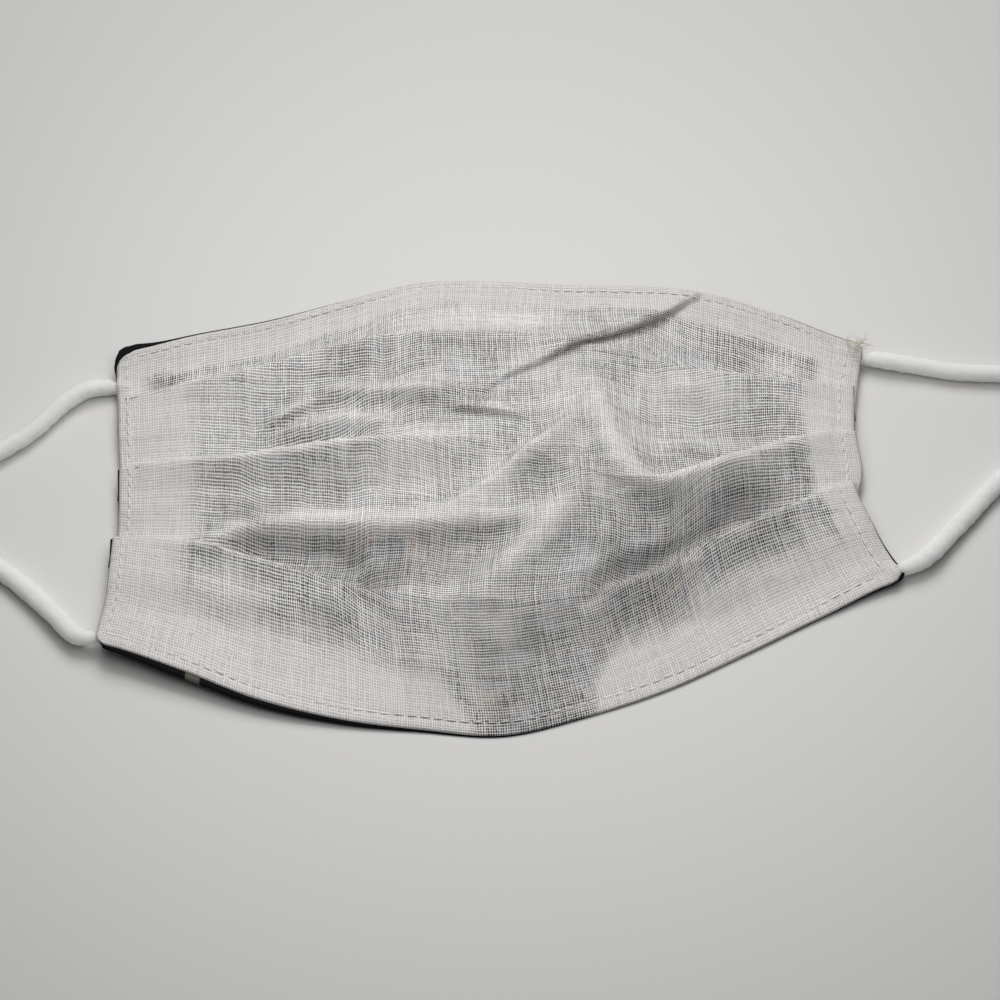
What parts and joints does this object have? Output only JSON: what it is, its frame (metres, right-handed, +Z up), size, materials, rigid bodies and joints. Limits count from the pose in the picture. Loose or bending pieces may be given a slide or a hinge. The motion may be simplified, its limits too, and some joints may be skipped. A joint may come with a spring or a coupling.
{
  "type": "cloth face mask",
  "caption": "Pleated cloth face mask that covers nose and mouth, lying open: white gauze lining up, black cotton outer below, soft round elastic ear loops at the sides.",
  "frame": {"origin": "centre of the underside of the mask body's box, with the ear loops left out; z = 0 is the surface it lies on", "axes": "+X runs from the left side hem to the right side hem as seen from above with the nose edge away, +Y from the chin edge to the nose edge, +Z up out of the surface, toward the lining"},
  "size_m": [0.2982, 0.1272, 0.0147],
  "materials": {
    "white_gauze": "matte coarse open weave",
    "black_cotton": "matte fine weave with a soft scattered print",
    "white_elastic": "matte fine knit"
  },
  "bodies": {
    "root": {"lining_panel": "white_gauze", "outer_panel": "black_cotton", "ear_loop_left": "white_elastic", "ear_loop_right": "white_elastic"}
  },
  "joints": []
}
